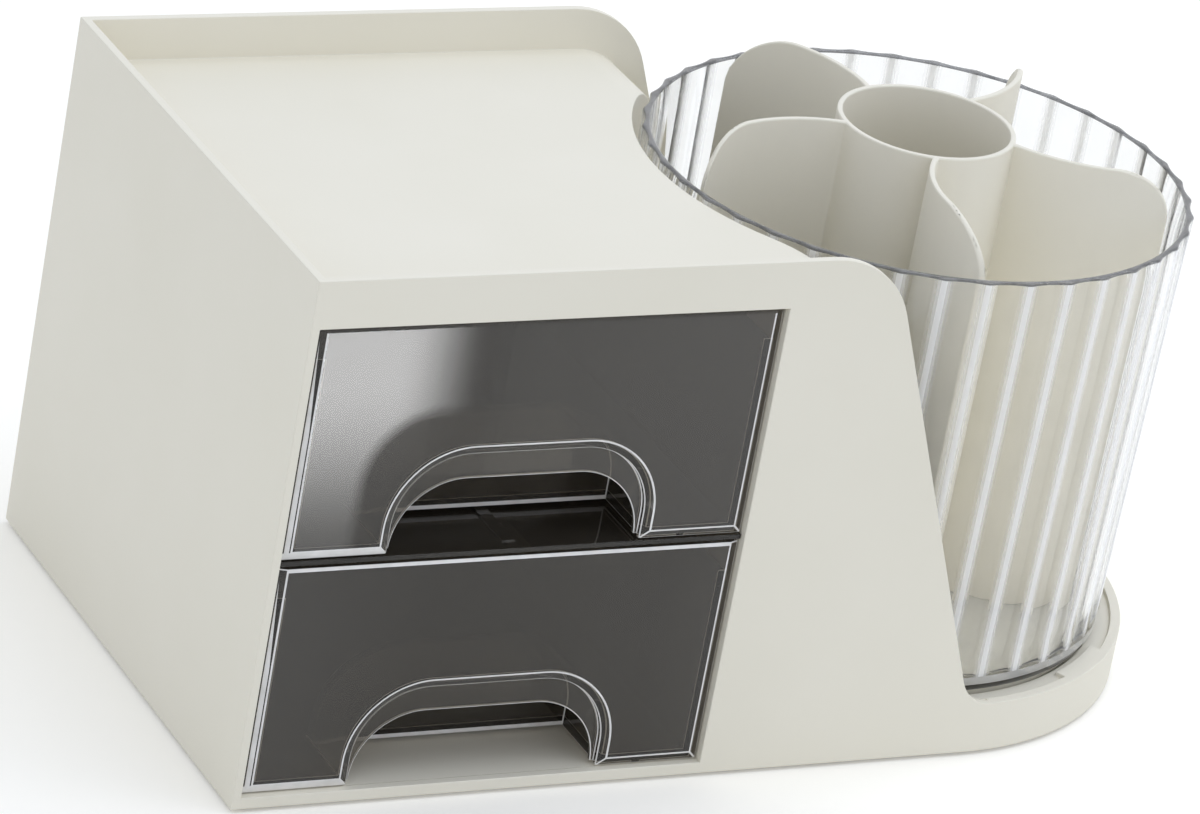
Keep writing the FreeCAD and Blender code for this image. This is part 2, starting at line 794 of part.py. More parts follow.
def screw_holes(name, places, face_z, head_up, radius, head_radius, head_height, far_z):
    """Countersunk holes for such screws, from a face through to far_z."""
    tools = []
    way = -1 if head_up else 1
    head_end = face_z + head_height * way
    for number, (x, y) in enumerate(places):
        label = f"{name}_{number}"
        if head_up:
            tools.append(cone(f"{label}_sink", x, y, radius, head_radius, head_end, face_z))
            tools.append(rod(f"{label}_bore", x, y, radius, far_z, head_end))
        else:
            tools.append(cone(f"{label}_sink", x, y, head_radius, radius, face_z, head_end))
            tools.append(rod(f"{label}_bore", x, y, radius, head_end, far_z))
    return tools


def screws(name, places, *sizes):
    """One screw of these sizes at every place, together one sub-part."""
    return group(name, [screw(f"{name}_{n}", x, y, *sizes) for n, (x, y) in enumerate(places)])


# The base cover with its rubber feet
def base_cover():
    plate = fuse(
        "cover_plate",
        cover_space("cover_outline", d.cover_gap, cover_under, cover_top),
        *cover_tabs("tab", ZERO),
    )
    return cut(
        "base_cover",
        plate,
        *screw_holes(
            "cover_hole",
            cover_screw_places(),
            cover_under,
            False,
            d.cover_screw,
            d.cover_head,
            d.cover_head_height,
            cover_top + d.overshoot,
        ),
    )


def rubber_feet():
    near_edge = half_depth - d.foot_inset
    places = [
        (left + d.foot_inset, -near_edge),
        (left + d.foot_inset, near_edge),
        (bay_right, -near_edge),
        (bay_right, near_edge),
        (round_end - d.foot_inset, ZERO),
    ]
    feet = []
    for number, (x, y) in enumerate(places):
        body = new_body(f"foot_{number}")
        pad(body, circle(new_sketch(body, "XY"), x, y, d.foot), cover_under)
        dress(
            body, "Fillet", lambda edge, middle: near(middle.z, ZERO), Radius=d.foot_round
        )
        feet.append(body)
    return group("rubber_feet", feet)


# The shelf between the drawers
def mid_shelf():
    body = new_body("mid_shelf")
    front = -half_depth + d.shelf_setback
    plate = new_sketch(body, "XY", shelf_under)
    x = (bay_left + d.shelf_gap, bay_right - d.shelf_gap)
    pad(body, rectangle(plate, x, (front, inner_half)), d.shelf)
    rib = new_sketch(body, "XY", shelf_under)
    half = d.shelf_rib / 2
    x = (bay_middle - half, bay_middle + half)
    y = (front + d.front_plate + d.overshoot, inner_half - d.drawer_rear_gap)
    pad(body, rectangle(rib, x, y), d.shelf + d.shelf_rib_height)
    stop = new_sketch(body, "XY", shelf_under - d.stop_drop)
    rear_wall = inner_half - d.drawer_rear_gap - d.drawer_wall
    stop_back = rear_wall - d.drawer_travel - d.stop_gap
    x = (bay_middle - d.stop_width / 2, bay_middle + d.stop_width / 2)
    y = (stop_back - d.stop_thickness, stop_back)
    pad(body, rectangle(stop, x, y), d.stop_drop + d.shelf / 2)
    return body


# The drawers
def pull_arch(sketch, half_width, bottom, top):
    """The outline of the finger pull before its upper corners are rounded."""
    return rectangle(sketch, (bay_middle - half_width, bay_middle + half_width), (bottom, top))


def arch_corners(half_width, top):
    """Test for the two upper corners of an arch, which run along Y."""
    sides = (bay_middle - half_width, bay_middle + half_width)
    return lambda edge, middle: (
        along(edge, Y) and near(middle.z, top) and any(near(middle.x, s) for s in sides)
    )


def arch_block(name, half_width, radius, top, y, bottom):
    """A block with the arch's outline, from y[0] to y[1]."""
    body = new_body(name)
    sketch = new_sketch(body, "XZ", -y[0])
    pull_arch(sketch, half_width, bottom, top)
    pad(body, sketch, y[1] - y[0], backwards=True)
    dress(body, "Fillet", arch_corners(half_width, top), Radius=radius)
    return body


def drawer(name, bottom):
    """A drawer in one moulding, with its lower edge at this height."""
    half_front = d.bay_width / 2 - d.drawer_side_gap
    half_tray = half_front - d.drawer_inset
    plate_back = front_y + d.front_plate
    rear = inner_half - d.drawer_rear_gap
    tray_bottom = bottom + d.runner
    rear_top = bottom + storey - d.drawer_lower_gap - d.stop_drop + d.stop_overlap
    side_top = bottom + d.drawer_side_height

    front = new_body(f"{name}_front")
    sketch = new_sketch(front, "XZ", -front_y)
    x = (bay_middle - half_front, bay_middle + half_front)
    z = (bottom, bottom + drawer_height)
    pad(front, rectangle(sketch, x, z), d.front_plate, backwards=True)

    tray = box(
        f"{name}_tray",
        (bay_middle - half_tray, bay_middle + half_tray),
        (plate_back - d.front_plate / 2, rear),
        (tray_bottom, side_top),
    )
    rear_wall = box(
        f"{name}_rear",
        (bay_middle - half_tray, bay_middle + half_tray),
        (rear - d.drawer_wall, rear),
        (tray_bottom, rear_top),
    )
    inside = half_tray - d.drawer_wall
    space = box(
        f"{name}_space",
        (bay_middle - inside, bay_middle + inside),
        (plate_back, rear - d.drawer_wall),
        (tray_bottom + d.drawer_floor, side_top + d.overshoot),
    )
    half_pull = d.pull_width / 2
    pull_top = bottom + d.pull_height
    pull_back = front_y + d.pull_depth
    pull_shell = arch_block(
        f"{name}_pull_shell",
        half_pull + d.pull_wall,
        d.pull_radius + d.pull_wall,
        pull_top + d.pull_wall,
        (plate_back - d.front_plate / 2, pull_back + d.pull_wall),
        tray_bottom,
    )
    pull_space = arch_block(
        f"{name}_pull_space",
        half_pull,
        d.pull_radius,
        pull_top,
        (front_y - d.overshoot, pull_back),
        bottom - d.overshoot,
    )
    lip_block = arch_block(
        f"{name}_lip_block",
        half_pull + d.pull_wall / 2,
        d.pull_radius + d.pull_wall / 2,
        pull_top + d.pull_wall / 2,
        (plate_back, plate_back + d.lip),
        tray_bottom,
    )
    lip_space = arch_block(
        f"{name}_lip_space",
        half_pull - d.pull_wall / 2,
        d.pull_radius - d.pull_wall / 2,
        pull_top - d.lip_drop,
        (plate_back - d.overshoot, plate_back + d.lip + d.overshoot),
        bottom - d.overshoot,
    )
    runners = [
        box(
            f"{name}_runner_{side}",
            (middle - d.runner_width / 2, middle + d.runner_width / 2),
            (plate_back - d.front_plate / 2, rear),
            (bottom, tray_bottom + d.drawer_floor / 2),
        )
        for side, middle in (
            ("left", bay_middle - d.runner_spread / 2),
            ("right", bay_middle + d.runner_spread / 2),
        )
    ]
    bevels = bevel_tools(name, half_front, bottom)
    hollow = cut(f"{name}_box", tray, space)
    bowl = fuse(f"{name}_bowl", hollow, rear_wall, pull_shell, front, *runners)
    carved = cut(f"{name}_carved", bowl, pull_space, *bevels)
    return fuse(name, carved, cut(f"{name}_lip", lip_block, lip_space))


def bevel_tools(name, half_front, bottom):
    """Wedges that bevel the front face at its left, right and lower edges and round the pull."""
    slant = d.front_bevel
    fall = d.front_bevel_depth
    top = bottom + drawer_height
    over = d.overshoot
    out = over * slant / fall
    tools = []
    for side, edge, way in (
        ("left", bay_middle - half_front, 1),
        ("right", bay_middle + half_front, -1),
    ):
        wedge = new_body(f"{name}_bevel_{side}")
        sketch = new_sketch(wedge, "XY", bottom - over)
        polygon(
            sketch,
            (edge + slant * way + out * way, front_y - over),
            (edge - over * way, front_y - over),
            (edge - over * way, front_y + fall + over * fall / slant),
        )
        pad(wedge, sketch, top - bottom + over * 2)
        tools.append(wedge)
    wedge = new_body(f"{name}_bevel_lower")
    sketch = new_sketch(wedge, "YZ", bay_middle - half_front - over)
    polygon(
        sketch,
        (front_y - over, bottom + slant + out),
        (front_y - over, bottom - over),
        (front_y + fall + over * fall / slant, bottom - over),
    )
    pad(wedge, sketch, (half_front + over) * 2)
    tools.append(wedge)
    mouth = doc.addObject("Part::Loft", f"{name}_bevel_pull")
    mouth.Sections = [
        arch_wire(f"{name}_outer", slant + out, bottom, front_y - over),
        arch_wire(f"{name}_inner", -(out / 4), bottom, front_y + fall + over / 4),
    ]
    mouth.Solid = True
    mouth.Ruled = True
    tools.append(mouth)
    return tools


def arch_wire(name, grow, bottom, y):
    """The outline of the finger pull in the plane at y, larger by grow."""
    half_width = d.pull_width / 2 + grow
    radius = d.pull_radius + grow
    top = bottom + d.pull_height + grow
    bottom = bottom - d.overshoot
    sketch = doc.addObject("Sketcher::SketchObject", name)
    sketch.Placement = Placement(Vector(0, y.value, 0), Rotation(Vector(1, 0, 0), 90))
    bind(sketch, Placement__Base__y=y)
    x0 = bay_middle - half_width
    x1 = bay_middle + half_width
    corners = [
        Vector(x0.value, bottom.value, 0),
        Vector(x1.value, bottom.value, 0),
        Vector(x1.value, (top - radius).value, 0),
        Vector((x1 - radius).value, top.value, 0),
        Vector((x0 + radius).value, top.value, 0),
        Vector(x0.value, (top - radius).value, 0),
    ]
    z = Vector(0, 0, 1)
    right = Part.Circle(Vector((x1 - radius).value, (top - radius).value, 0), z, radius.value)
    left_arc = Part.Circle(Vector((x0 + radius).value, (top - radius).value, 0), z, radius.value)
    sketch.addGeometry(
        [
            Part.LineSegment(corners[0], corners[1]),
            Part.LineSegment(corners[1], corners[2]),
            Part.ArcOfCircle(right, 0, math.pi / 2),
            Part.LineSegment(corners[3], corners[4]),
            Part.ArcOfCircle(left_arc, math.pi / 2, math.pi),
            Part.LineSegment(corners[5], corners[0]),
        ],
        False,
    )
    for ends in ((0, 2, 1, 1), (1, 2, 2, 1), (2, 2, 3, 1), (3, 2, 4, 1), (4, 2, 5, 1), (5, 2, 0, 1)):
        sketch.addConstraint(Sketcher.Constraint("Coincident", *ends))
    pin(sketch, 0, 1, x0, bottom)
    pin(sketch, 0, 2, x1, bottom)
    pin(sketch, 2, 3, x1 - radius, top - radius)
    pin(sketch, 4, 3, x0 + radius, top - radius)
    dimension(sketch, "DistanceX", -1, 1, 1, 2, size=x1)
    dimension(sketch, "DistanceY", -1, 1, 1, 2, size=top - radius)
    dimension(sketch, "DistanceX", -1, 1, 3, 1, size=x1 - radius)
    dimension(sketch, "DistanceX", -1, 1, 3, 2, size=x0 + radius)
    pin(sketch, 4, 2, x0, top - radius)
    return sketch


# The bearing: two equal races, a cage and its balls
def ring_body(name, inner, outer, bottom, top):
    body = new_body(name)
    turned(body, rectangle(new_sketch(body, "XZ"), (inner, outer), (bottom, top)))
    place(body, axis_x)
    return body


def race(name, bottom):
    """A pressed ring with a ball track on the side that faces the balls."""
    body = ring_body(name, d.race_inner, d.race_outer, bottom, bottom + d.race)
    track = circle(new_sketch(body, "XZ"), d.ball_circle, ball_z, d.ball + d.ball_clearance)
    turned(body, track, "Groove")
    return body


def lower_race():
    ring = race("lower_ring", lower_race_z)
    top = lower_race_z + d.race
    holes = screw_holes(
        "lower_race_hole", race_screw_places(), top, True,
        d.small_screw, d.small_head, d.small_head_height, lower_race_z - d.overshoot,
    )
    return cut("lower_race", ring, *holes)


def upper_race():
    ring = race("upper_ring", upper_race_z)
    holes = [
        rod(f"upper_race_hole_{n}", x, y, d.small_screw, upper_race_z - d.overshoot, turntable_top)
        for n, (x, y) in enumerate(race_screw_places())
    ]
    return cut("upper_race", ring, *holes)


def ball_cage():
    body = new_body("ball_cage")
    half = d.cage_width / 2
    x = (d.ball_circle - half, d.ball_circle + half)
    turned(body, rectangle(new_sketch(body, "XZ"), x, (ball_z - d.cage / 2, ball_z + d.cage / 2)))
    hole = circle(
        new_sketch(body, "XY", ball_z), d.ball_circle, ZERO, d.ball + d.ball_clearance
    )
    first = pocket(body, hole, d.cage * 2, midplane=True)
    round_about(body, [first], d.ball_count)
    place(body, axis_x)
    return body


def bearing_balls():
    balls = []
    for number, (x, y) in enumerate(on_circle(d.ball_count, d.ball_circle)):
        ball = add("Part::Sphere", f"ball_{number}", Radius=d.ball)
        balls.append(place(ball, x, y, ball_z))
    return group("bearing_balls", balls)


# The turntable and its pivot
def turntable_plate():
    bore = d.bolt + d.bolt_fit + d.bushing_wall + d.bushing_fit
    body = ring_body("turntable_disc", bore, turntable_radius, turntable_under, turntable_top)
    holes = screw_holes(
        "turntable_race_hole", race_screw_places(), turntable_top, True,
        d.small_screw, d.small_head, d.small_head_height, turntable_under - d.overshoot,
    )
    holes += screw_holes(
        "turntable_cup_hole", cup_screw_places(), turntable_under, False,
        d.small_screw, d.small_head, d.small_head_height, turntable_top + d.overshoot,
    )
    return cut("turntable_plate", body, *holes)


def pivot_bolt():
    nut_bottom = well_under
    shank = rod("bolt_shank", axis_x, ZERO, d.bolt, nut_bottom - d.end_play, head_z)
    head = rod("bolt_cap", axis_x, ZERO, d.bolt_head, head_z, head_z + d.bolt_head_height)
    socket = hexagon(
        "bolt_socket",
        axis_x,
        ZERO,
        d.hex_key,
        head_z + d.bolt_head_height - d.hex_key_depth,
        head_z + d.bolt_head_height + d.overshoot,
    )
    return cut("pivot_bolt", fuse("bolt_solid", shank, head), socket)


def sleeve(name, inner, outer, bottom, top):
    return cut(
        name,
        rod(f"{name}_outside", axis_x, ZERO, outer, bottom, top),
        rod(f"{name}_inside", axis_x, ZERO, inner, bottom - d.overshoot, top + d.overshoot),
    )


def pivot_bushing():
    inner = d.bolt + d.bolt_fit
    return sleeve("pivot_bushing", inner, inner + d.bushing_wall, boss_top, washer_z)


def pivot_washer():
    return sleeve("pivot_washer", d.bolt + d.bolt_fit, d.washer_radius, washer_z, head_z)


def pivot_nut():
    top = well_under + d.nut_height
    return cut(
        "pivot_nut",
        hexagon("nut_solid", axis_x, ZERO, d.nut, well_under, top),
        rod("nut_bore", axis_x, ZERO, d.bolt, base_z, top + d.overshoot),
    )


# The clear cup
def cup():
    body = new_body("fluted_cup_body")
    foot = turntable_top
    outline = new_sketch(body, "XZ")
    polygon(
        outline,
        (d.cup_access, foot),
        (cup_foot_radius - d.cup_foot_chamfer, foot),
        (cup_foot_radius, foot + d.cup_foot_chamfer),
        (d.cup_rim_radius, cup_rim_z),
        (d.cup_rim_radius - d.cup_wall, cup_rim_z),
        (cup_foot_radius - d.cup_wall, cup_floor_z),
        (d.cup_access, cup_floor_z),
    )
    turned(body, outline)

    flute_z = foot + d.flute_start
    climb = cup_rim_z + d.overshoot - flute_z
    centre = fluted_radius - d.flute_depth + flute_radius
    flute = cutting_primitive(body, "Cone", centre, flute_z, Radius1=flute_radius)
    bind(flute, Radius2=flute_radius - widening * climb, Height=climb)
    tip = cutting_primitive(body, "Sphere", centre, flute_z, Radius=flute_radius)
    round_about(body, [flute, tip], d.flute_count)
    place(body, axis_x)
    holes = []
    for number, (x, y) in enumerate(cup_screw_places()):
        tip_z = turntable_under + d.cup_screw_length
        holes.append(rod(f"cup_pilot_{number}", x, y, d.small_screw, base_z, tip_z))
    return cut("fluted_cup", body, *holes)


# The divider that lifts out of the cup
def divider():
    body = new_body("tube_and_petals")
    tube_inner = d.tube_radius - d.tube_wall
    turned(
        body,
        rectangle(new_sketch(body, "XZ"), (tube_inner, d.tube_radius), (divider_z, divider_top)),
    )
    blade = new_sketch(body, "XY", divider_z)
    root = d.tube_radius - d.tube_wall / 2
    tip = petal_reach + d.overshoot
    centre = (d.petal_centre_out, d.petal_centre_side)
    hub = Vector(centre[0].value, centre[1].value, 0)
    faces = (d.petal_curve + d.petal / 2, d.petal_curve - d.petal / 2)
    for radius in faces:
        first = -math.acos((root - centre[0]).value / radius.value)
        last = -math.acos((tip - centre[0]).value / radius.value)
        curve = Part.Circle(hub, Vector(0, 0, 1), radius.value)
        blade.addGeometry(Part.ArcOfCircle(curve, first, last), False)
    for end in ("StartPoint", "EndPoint"):
        outer, inner = (getattr(blade.Geometry[n], end) for n in (0, 1))
        blade.addGeometry(Part.LineSegment(outer, inner), False)
    for line, point in ((2, 1), (3, 2)):
        for line_end, arc in ((1, 0), (2, 1)):
            blade.addConstraint(Sketcher.Constraint("Coincident", line, line_end, arc, point))
    for number, radius in enumerate(faces):
        pin(blade, number, 3, *centre)
        dimension(blade, "Radius", number, size=radius)
        dimension(blade, "DistanceX", -1, 1, number, 1, size=root)
        dimension(blade, "DistanceX", -1, 1, number, 2, size=tip)
    petal = pad(body, blade, divider_top - divider_z)
    round_about(body, [petal], d.petal_count)

    envelope = new_body("petal_envelope")
    turned(
        envelope,
        rectangle(new_sketch(envelope, "XZ"), (ZERO, petal_reach), (divider_z, divider_top)),
    )
    dress(envelope, "Fillet", lambda edge, middle: near(middle.z, divider_top) and near(
        math.hypot(middle.x, middle.y), petal_reach
    ), Radius=d.petal_corner)
    for shape in (body, envelope):
        place(shape, axis_x, ZERO, ZERO, d.petal_angle)
    return common("petal_divider", body, envelope)


SUBPARTS = {
    "housing_shell": housing(),
    "base_cover": base_cover(),
    "cover_screws": screws(
        "cover_screws", cover_screw_places(), cover_under, False,
        d.cover_screw, d.cover_head, d.cover_head_height, d.cover_screw_length,
    ),
    "rubber_feet": rubber_feet(),
    "mid_shelf": mid_shelf(),
    "lower_drawer": drawer("lower_drawer", cover_top + d.drawer_lower_gap),
    "upper_drawer": drawer("upper_drawer", shelf_top + d.drawer_lower_gap),
    "lower_race": lower_race(),
    "lower_race_screws": screws(
        "lower_race_screws", race_screw_places(), lower_race_z + d.race, True,
        d.small_screw, d.small_head, d.small_head_height, d.lower_screw_length,
    ),
    "ball_cage": ball_cage(),
    "bearing_balls": bearing_balls(),
    "upper_race": upper_race(),
    "upper_race_screws": screws(
        "upper_race_screws", race_screw_places(), turntable_top, True,
        d.small_screw, d.small_head, d.small_head_height, d.upper_screw_length,
    ),
    "turntable_plate": turntable_plate(),
    "pivot_bolt": pivot_bolt(),
    "pivot_bushing": pivot_bushing(),
    "pivot_washer": pivot_washer(),
    "pivot_nut": pivot_nut(),
    "cup_screws": screws(
        "cup_screws", cup_screw_places(), turntable_under, False,
        d.small_screw, d.small_head, d.small_head_height, d.cup_screw_length,
    ),
    "fluted_cup": cup(),
    "petal_divider": divider(),
}

doc.recompute()

for thing in doc.Objects:
    if {"Invalid", "Error"} & set(thing.State):
        raise ValueError(f"{thing.Name} failed: {thing.State}")
for name, piece in SUBPARTS.items():
    piece.Label = name
    if piece.Shape.isNull() or not piece.Shape.isValid():
        raise ValueError(f"{name} has no valid shape")

os.makedirs("parts", exist_ok=True)
for name, piece in SUBPARTS.items():
    piece.Shape.exportStep(f"parts/{name}.step")
    print(f"{name}: {len(piece.Shape.Solids)} solid(s), {piece.Shape.Volume:.0f} mm3")
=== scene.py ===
import math

import bmesh
import bpy
import numpy as np
from mathutils import Matrix, Vector


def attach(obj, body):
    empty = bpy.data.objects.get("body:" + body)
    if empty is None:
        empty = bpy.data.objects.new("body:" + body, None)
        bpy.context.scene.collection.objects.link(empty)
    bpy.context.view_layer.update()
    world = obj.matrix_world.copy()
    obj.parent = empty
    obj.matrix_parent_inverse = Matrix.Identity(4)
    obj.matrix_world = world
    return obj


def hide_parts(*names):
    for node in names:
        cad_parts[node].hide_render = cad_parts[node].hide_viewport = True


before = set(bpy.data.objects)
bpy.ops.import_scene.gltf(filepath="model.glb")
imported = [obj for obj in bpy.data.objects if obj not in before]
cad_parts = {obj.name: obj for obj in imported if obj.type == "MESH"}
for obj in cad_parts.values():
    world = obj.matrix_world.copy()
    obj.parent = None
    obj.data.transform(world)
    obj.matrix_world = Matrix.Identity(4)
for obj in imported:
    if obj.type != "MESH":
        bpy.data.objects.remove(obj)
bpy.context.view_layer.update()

MM = 0.001
AXIS = Vector((62.5, 0, 0)) * MM


# Materials
class Nodes:
    """A material's node tree, with short ways to add and join nodes."""

    def __init__(self, name):
        self.material = bpy.data.materials.new(name)
        self.material.use_nodes = True
        self.start(self.material.node_tree, "OutputMaterial", "Object")

    @classmethod
    def of(cls, tree):
        """The nodes of the world, where a place is a direction."""
        made = cls.__new__(cls)
        made.start(tree, "OutputWorld", "Generated")
        return made

    def start(self, tree, output, place):
        self.tree = tree
        tree.nodes.clear()
        self.output = self.add(output)
        self.coordinates = self.add("TexCoord")
        self.place = self.coordinates.outputs[place]

    def add(self, kind, **sockets):
        node = self.tree.nodes.new("ShaderNode" + kind)
        self.fill(node, sockets)
        return node

    def fill(self, node, sockets):
        for name, value in sockets.items():
            socket = node.inputs[name.replace("_", " ")]
            if isinstance(value, bpy.types.NodeSocket):
                self.tree.links.new(value, socket)
            else:
                socket.default_value = value

    def noise(self, scale, detail=2.0, roughness=0.5, stretch=(1, 1, 1)):
        place = self.add("Mapping", Vector=self.place, Scale=stretch)
        node = self.add(
            "TexNoise", Vector=place.outputs[0],
            Scale=scale, Detail=detail, Roughness=roughness,
        )
        return node.outputs[0]

    def between(self, factor, low, high, start=0.3, end=0.7):
        """A number that runs from low to high as the factor runs from start to end."""
        node = self.add("MapRange", Value=factor)
        for name, value in (
            ("From Min", start), ("From Max", end), ("To Min", low), ("To Max", high)
        ):
            node.inputs[name].default_value = value
        return node.outputs[0]

    def colours(self, factor, low, high, start=0.3, end=0.7):
        """A colour that runs from low to high as the factor runs from start to end."""
        node = self.tree.nodes.new("ShaderNodeValToRGB")
        ramp = node.color_ramp
        for element, position, colour in zip(ramp.elements, (start, end), (low, high)):
            element.position = position
            element.color = (*colour, 1)
        self.tree.links.new(factor, node.inputs[0])
        return node.outputs[0]

    def profile(self, value, stops):
        """A number that bends softly through the stops, pairs of position and level."""
        node = self.tree.nodes.new("ShaderNodeValToRGB")
        ramp = node.color_ramp
        ramp.interpolation = "EASE"
        for _ in stops[2:]:
            ramp.elements.new(0.5)
        for element, (position, _) in zip(ramp.elements, stops):
            element.position = position
        for element, (_, level) in zip(ramp.elements, stops):
            element.color = (level, level, level, 1)
        self.tree.links.new(value, node.inputs[0])
        return node.outputs[0]

    def join(self, operation, *values):
        """The result of a mathematical operation on numbers or sockets."""
        node = self.add("Math")
        node.operation = operation
        for socket, value in zip(node.inputs, values):
            if isinstance(value, bpy.types.NodeSocket):
                self.tree.links.new(value, socket)
            else:
                socket.default_value = value
        return node.outputs[0]

    def blend(self, factor, first, second):
        node = self.add("MixShader", Fac=factor)
        self.tree.links.new(first.outputs[0], node.inputs[1])
        self.tree.links.new(second.outputs[0], node.inputs[2])
        return node

    def bump(self, height, distance, strength=1.0, under=None):
        node = self.add("Bump", Height=height, Distance=distance, Strength=strength)
        if under is not None:
            self.tree.links.new(under, node.inputs["Normal"])
        return node.outputs[0]

    def surface(self, shader):
        self.tree.links.new(shader, self.output.inputs["Surface"])
        return self.material


def linear(code):
    """Linear colour of a hexadecimal sRGB code."""
    parts = [int(code[n:n + 2], 16) / 255 for n in (0, 2, 4)]
    return tuple(
        part / 12.92 if part <= 0.04045 else ((part + 0.055) / 1.055) ** 2.4
        for part in parts
    )


def cream_plastic():
    """Matt moulded plastic: a fine spark-eroded grain and faint clouding."""
    n = Nodes("cream_plastic")
    cloud = n.noise(18, detail=3)
    grain = n.noise(1500, detail=3, roughness=0.65)
    pits = n.noise(420, detail=1)
    shader = n.add(
        "BsdfPrincipled",
        Base_Color=n.colours(cloud, linear("E6E1D0"), linear("E9E4D4")),
        Roughness=n.between(grain, 0.44, 0.58),
        Specular_IOR_Level=0.45,
        Normal=n.bump(pits, 6e-6, under=n.bump(grain, 8e-6)),
    )
    return n.surface(shader.outputs[0])


def see_through(n, shader, tint):
    """Lets lamps shine straight through the plastic, so that its inside is lit."""
    path = n.add("LightPath")
    clear = n.add("BsdfTransparent", Color=(*tint, 1))
    return n.surface(n.blend(path.outputs["Is Shadow Ray"], shader, clear).outputs[0])


# What one face of a smoky wall lets through; a ray crosses two of them
SMOKY_SHADOW = [math.sqrt(part) for part in linear("A29B90")]


def smoky_plastic():
    """Glossy smoked plastic, slightly uneven in colour and wavy as a moulding is."""
    n = Nodes("smoky_plastic")
    cloud = n.noise(22, detail=2, stretch=(1, 1, 0.4))
    wave = n.noise(35, detail=1)
    haze = n.noise(160, detail=2)
    shader = n.add(
        "BsdfPrincipled",
        Base_Color=n.colours(cloud, linear("9B9488"), linear("A59E91")),
        Roughness=n.between(haze, 0.015, 0.03),
        IOR=1.45,
        Transmission_Weight=0.95,
        Normal=n.bump(wave, 4e-5, strength=0.5),
    )
    return see_through(n, shader, SMOKY_SHADOW)


def smoky_painted_highlight():
    """The same plastic, pale along its rounded edges and a few flat strips: painted
    highlights.
    """
    n = Nodes("smoky_painted_highlight")
    haze = n.noise(240, detail=2)
    shader = n.add(
        "BsdfPrincipled",
        Base_Color=n.colours(haze, linear("EAE8E3"), linear("FAF8F4")),
        Roughness=n.between(haze, 0.12, 0.2),
        IOR=1.49,
        Transmission_Weight=0.15,
    )
    return see_through(n, shader, SMOKY_SHADOW)


def clear_plastic():
    """Clear moulded plastic with faint flow lines that run up the wall."""
    n = Nodes("clear_plastic")
    flow = n.noise(60, detail=2, stretch=(1, 1, 0.08))
    haze = n.noise(130, detail=2)
    shader = n.add(
        "BsdfPrincipled",
        Base_Color=n.colours(haze, linear("F8F8F7"), linear("FCFCFB")),
        Roughness=n.between(haze, 0.02, 0.045),
        IOR=1.2,
        Transmission_Weight=1.0,
        Coat_Weight=1.0,
        Coat_Roughness=0.03,
        Coat_IOR=1.45,
        Normal=n.bump(flow, 3e-5, strength=0.4),
    )
    return see_through(n, shader, linear("FEFEFD"))


def clear_edge(name, low, high, through):
    """Clear plastic tinted paler or darker where its form would bend light: painted
    highlights and painted shade.
    """
    n = Nodes(name)
    streak = n.noise(220, detail=2, stretch=(1, 1, 0.3))
    shader = n.add(
        "BsdfPrincipled",
        Base_Color=n.colours(streak, linear(low), linear(high)),
        Roughness=n.between(streak, 0.1, 0.2),
        IOR=1.3,
        Transmission_Weight=through,
        Coat_Weight=1.0,
        Coat_Roughness=0.03,
        Coat_IOR=1.45,
    )
    return see_through(n, shader, linear("F8F8F7"))


def brushed_metal(name, low, high, roughness):
    """Turned metal: fine rings round the piece and slight staining."""
    n = Nodes(name)
    stain = n.noise(300, detail=3)
    rings = n.noise(900, detail=2, stretch=(0.15, 0.15, 6))
    shader = n.add(
        "BsdfPrincipled",
        Base_Color=n.colours(stain, low, high),
        Metallic=1.0,
        Roughness=n.between(rings, roughness * 0.8, roughness * 1.3),
        Normal=n.bump(rings, 4e-6),
    )
    return n.surface(shader.outputs[0])


def soft_material(name, low, high, roughness, scale, depth):
    """Plain matt plastic or rubber with a grain."""
    n = Nodes(name)
    grain = n.noise(scale, detail=3, roughness=0.6)
    shader = n.add(
        "BsdfPrincipled",
        Base_Color=n.colours(n.noise(90, detail=3), low, high),
        Roughness=n.between(grain, roughness - 0.06, roughness + 0.06),
        Normal=n.bump(grain, depth),
    )
    return n.surface(shader.outputs[0])


# Materials that a piece carries beside its slot's own, in the order of their indices;
# they paint highlights and shade onto the drawers' edges and the cup
EDGES = {
    "smoky_plastic": [smoky_painted_highlight()],
    "clear_plastic": [
        # The rim: a dark grey tint, painted shade
        clear_edge("clear_rim_painted_shade", "4A4B4E", "7A7B7E", 0.45),
        # Ridge, shoulder and slope: near-white steps across each flute ridge, painted
        # highlight streaks; the shoulder also paints a pale band above the foot
        clear_edge("clear_ridge_painted_highlight", "FAFAFA", "FEFEFE", 0.4),
        clear_edge("clear_shoulder_painted_highlight", "FAFAFA", "FEFEFE", 0.7),
        clear_edge("clear_slope_painted_highlight", "FAFAFA", "FEFEFE", 0.9),
        # The floor: milky, with a cream tint that paints warm light
        clear_edge("clear_floor_painted_light", "D6D3C8", "DDDACF", 0.4),
        # The foot edge: near black, painted shade
        clear_edge("clear_foot_painted_shade", "1E1E1D", "343433", 0.3),
    ],
}
MATERIALS = {
    "cream_plastic": cream_plastic(),
    "smoky_plastic": smoky_plastic(),
    "clear_plastic": clear_plastic(),
    "zinc_screw": brushed_metal(
        "zinc_screw", linear("B9BABD"), linear("CBCCCE"), 0.3
    ),
    "bearing_steel": brushed_metal(
        "bearing_steel", linear("C4C6C9"), linear("D6D8DA"), 0.22
    ),
    "white_nylon": soft_material(
        "white_nylon", linear("E9E8E4"), linear("F1F0EC"), 0.45, 700, 5e-6
    ),
    "foot_rubber": soft_material(
        "foot_rubber", linear("3F3E3C"), linear("4A4947"), 0.75, 1100, 1.5e-5
    ),
}


def finish_of(node):
    """The record's material slot of a CAD node, as its mesh carries it."""
    return node.data.materials[0].name.split(".")[0]


